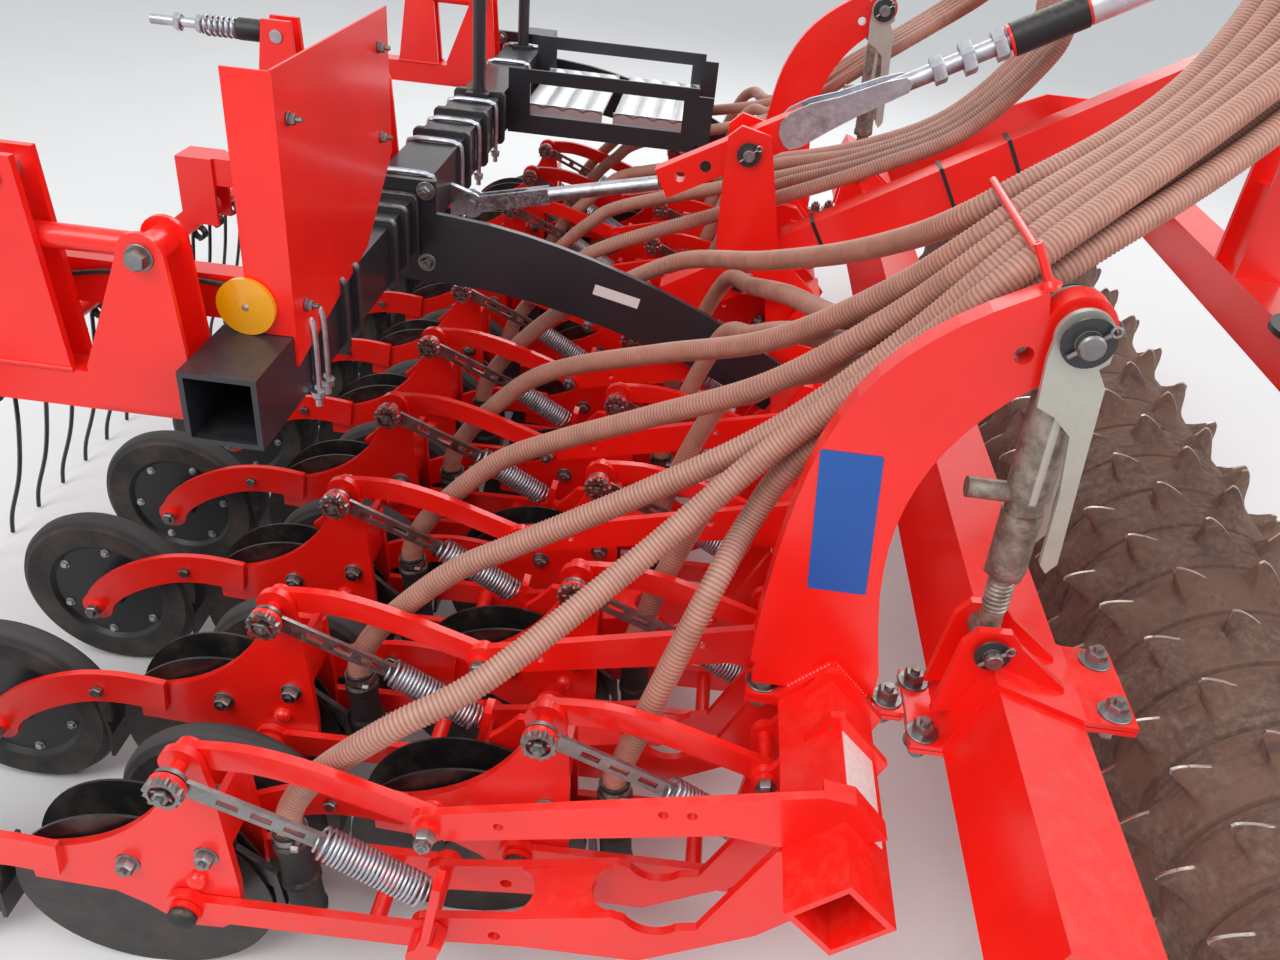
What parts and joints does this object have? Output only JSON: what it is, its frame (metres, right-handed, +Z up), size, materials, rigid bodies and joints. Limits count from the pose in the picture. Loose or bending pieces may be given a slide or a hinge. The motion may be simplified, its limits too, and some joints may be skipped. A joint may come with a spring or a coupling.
{
  "type": "seed drill wing with disc coulters and packer roller",
  "caption": "Outer wing of a seed drill: coulter bar with two ranks of double-disc coulters and press wheels, toothed packer roller, covering harrow and linkage.",
  "frame": {"origin": "middle of the part's footprint, on the ground it stands on", "axes": "+X is the direction of travel, +Y runs along the working width from the outer end to the fold hinge, +Z is up"},
  "size_m": [2.8247, 3.147, 1.765],
  "materials": {
    "red_paint": "glossy signal red powder coat",
    "charcoal_paint": "satin charcoal powder coat",
    "press_wheel_rubber": "dusty black rubber",
    "black_rubber": "matt black rubber",
    "hose_plastic": "ribbed terracotta plastic, dusty",
    "worn_steel": "soil-stained steel, edges worn bright",
    "zinc_plate": "dull zinc plate",
    "spring_steel": "black oiled spring steel",
    "tread_aluminium": "ribbed mill aluminium",
    "amber_lens": "amber reflector lens"
  },
  "bodies": {
    "wing": {"coulter_beam": "red_paint", "rear_row_brackets": "red_paint", "front_row_brackets": "red_paint", "upper_arms": "red_paint", "lower_arms": "red_paint", "unit_heads": "red_paint", "opener_bodies": "charcoal_paint", "opener_discs": "worn_steel", "boot_sleeves": "black_rubber", "wheel_scrapers": "worn_steel", "spring_straps": "zinc_plate", "springs": "zinc_plate", "roller_beam": "red_paint", "roller_arms": "red_paint", "wing_frame": "red_paint", "swan_necks": "red_paint", "roller_clamps": "red_paint", "depth_spindles": "zinc_plate", "link_post": "red_paint", "lower_link": "red_paint", "upper_link": "red_paint", "rear_tube": "charcoal_paint", "curved_arms": "charcoal_paint", "rear_spindle": "zinc_plate", "step_plates": "charcoal_paint", "step_treads": "tread_aluminium", "handrails": "charcoal_paint", "sign_plate": "red_paint", "reflector": "amber_lens", "harrow_supports": "red_paint", "harrow_rods": "zinc_plate", "seed_hoses": "hose_plastic", "distribution_head": "charcoal_paint", "hose_hooks": "red_paint"},
    "roller": {"packer_roller": "worn_steel"},
    "harrow": {"harrow_frame": "red_paint", "harrow_tines": "spring_steel"},
    "wheel_01": {"press_wheel_01": "press_wheel_rubber"},
    "wheel_02": {"press_wheel_02": "press_wheel_rubber"},
    "wheel_03": {"press_wheel_03": "press_wheel_rubber"},
    "wheel_04": {"press_wheel_04": "press_wheel_rubber"},
    "wheel_05": {"press_wheel_05": "press_wheel_rubber"},
    "wheel_06": {"press_wheel_06": "press_wheel_rubber"},
    "wheel_07": {"press_wheel_07": "press_wheel_rubber"},
    "wheel_08": {"press_wheel_08": "press_wheel_rubber"},
    "wheel_09": {"press_wheel_09": "press_wheel_rubber"},
    "wheel_10": {"press_wheel_10": "press_wheel_rubber"},
    "wheel_11": {"press_wheel_11": "press_wheel_rubber"},
    "wheel_12": {"press_wheel_12": "press_wheel_rubber"},
    "wheel_13": {"press_wheel_13": "press_wheel_rubber"},
    "wheel_14": {"press_wheel_14": "press_wheel_rubber"},
    "wheel_15": {"press_wheel_15": "press_wheel_rubber"},
    "wheel_16": {"press_wheel_16": "press_wheel_rubber"},
    "wheel_17": {"press_wheel_17": "press_wheel_rubber"},
    "wheel_18": {"press_wheel_18": "press_wheel_rubber"},
    "wheel_19": {"press_wheel_19": "press_wheel_rubber"},
    "wheel_20": {"press_wheel_20": "press_wheel_rubber"}
  },
  "joints": [
    {"name": "roller_spin", "type": "hinge", "parent": "wing", "child": "roller", "pos_m": [1.0425, 0, 0.2675], "axis": [0, 1, 0], "continuous": true},
    {"name": "harrow_lift", "type": "hinge", "parent": "wing", "child": "harrow", "pos_m": [-1.0825, 0, 0.64], "axis": [0, 1, 0], "range_deg": [0, 25]},
    {"name": "wheel_01_spin", "type": "hinge", "parent": "wing", "child": "wheel_01", "pos_m": [-0.9855, -1.3485, 0.165], "axis": [0, 1, 0], "continuous": true},
    {"name": "wheel_02_spin", "type": "hinge", "parent": "wing", "child": "wheel_02", "pos_m": [-0.5655, -1.1985, 0.165], "axis": [0, 1, 0], "continuous": true},
    {"name": "wheel_03_spin", "type": "hinge", "parent": "wing", "child": "wheel_03", "pos_m": [-0.9855, -1.0485, 0.165], "axis": [0, 1, 0], "continuous": true},
    {"name": "wheel_04_spin", "type": "hinge", "parent": "wing", "child": "wheel_04", "pos_m": [-0.5655, -0.8985, 0.165], "axis": [0, 1, 0], "continuous": true},
    {"name": "wheel_05_spin", "type": "hinge", "parent": "wing", "child": "wheel_05", "pos_m": [-0.9855, -0.7485, 0.165], "axis": [0, 1, 0], "continuous": true},
    {"name": "wheel_06_spin", "type": "hinge", "parent": "wing", "child": "wheel_06", "pos_m": [-0.5655, -0.5985, 0.165], "axis": [0, 1, 0], "continuous": true},
    {"name": "wheel_07_spin", "type": "hinge", "parent": "wing", "child": "wheel_07", "pos_m": [-0.9855, -0.4485, 0.165], "axis": [0, 1, 0], "continuous": true},
    {"name": "wheel_08_spin", "type": "hinge", "parent": "wing", "child": "wheel_08", "pos_m": [-0.5655, -0.2985, 0.165], "axis": [0, 1, 0], "continuous": true},
    {"name": "wheel_09_spin", "type": "hinge", "parent": "wing", "child": "wheel_09", "pos_m": [-0.9855, -0.1485, 0.165], "axis": [0, 1, 0], "continuous": true},
    {"name": "wheel_10_spin", "type": "hinge", "parent": "wing", "child": "wheel_10", "pos_m": [-0.5655, 0.0015, 0.165], "axis": [0, 1, 0], "continuous": true},
    {"name": "wheel_11_spin", "type": "hinge", "parent": "wing", "child": "wheel_11", "pos_m": [-0.9855, 0.1515, 0.165], "axis": [0, 1, 0], "continuous": true},
    {"name": "wheel_12_spin", "type": "hinge", "parent": "wing", "child": "wheel_12", "pos_m": [-0.5655, 0.3015, 0.165], "axis": [0, 1, 0], "continuous": true},
    {"name": "wheel_13_spin", "type": "hinge", "parent": "wing", "child": "wheel_13", "pos_m": [-0.9855, 0.4515, 0.165], "axis": [0, 1, 0], "continuous": true},
    {"name": "wheel_14_spin", "type": "hinge", "parent": "wing", "child": "wheel_14", "pos_m": [-0.5655, 0.6015, 0.165], "axis": [0, 1, 0], "continuous": true},
    {"name": "wheel_15_spin", "type": "hinge", "parent": "wing", "child": "wheel_15", "pos_m": [-0.9855, 0.7515, 0.165], "axis": [0, 1, 0], "continuous": true},
    {"name": "wheel_16_spin", "type": "hinge", "parent": "wing", "child": "wheel_16", "pos_m": [-0.5655, 0.9015, 0.165], "axis": [0, 1, 0], "continuous": true},
    {"name": "wheel_17_spin", "type": "hinge", "parent": "wing", "child": "wheel_17", "pos_m": [-0.9855, 1.0515, 0.165], "axis": [0, 1, 0], "continuous": true},
    {"name": "wheel_18_spin", "type": "hinge", "parent": "wing", "child": "wheel_18", "pos_m": [-0.5655, 1.2015, 0.165], "axis": [0, 1, 0], "continuous": true},
    {"name": "wheel_19_spin", "type": "hinge", "parent": "wing", "child": "wheel_19", "pos_m": [-0.9855, 1.3515, 0.165], "axis": [0, 1, 0], "continuous": true},
    {"name": "wheel_20_spin", "type": "hinge", "parent": "wing", "child": "wheel_20", "pos_m": [-0.5655, 1.5015, 0.165], "axis": [0, 1, 0], "continuous": true}
  ]
}
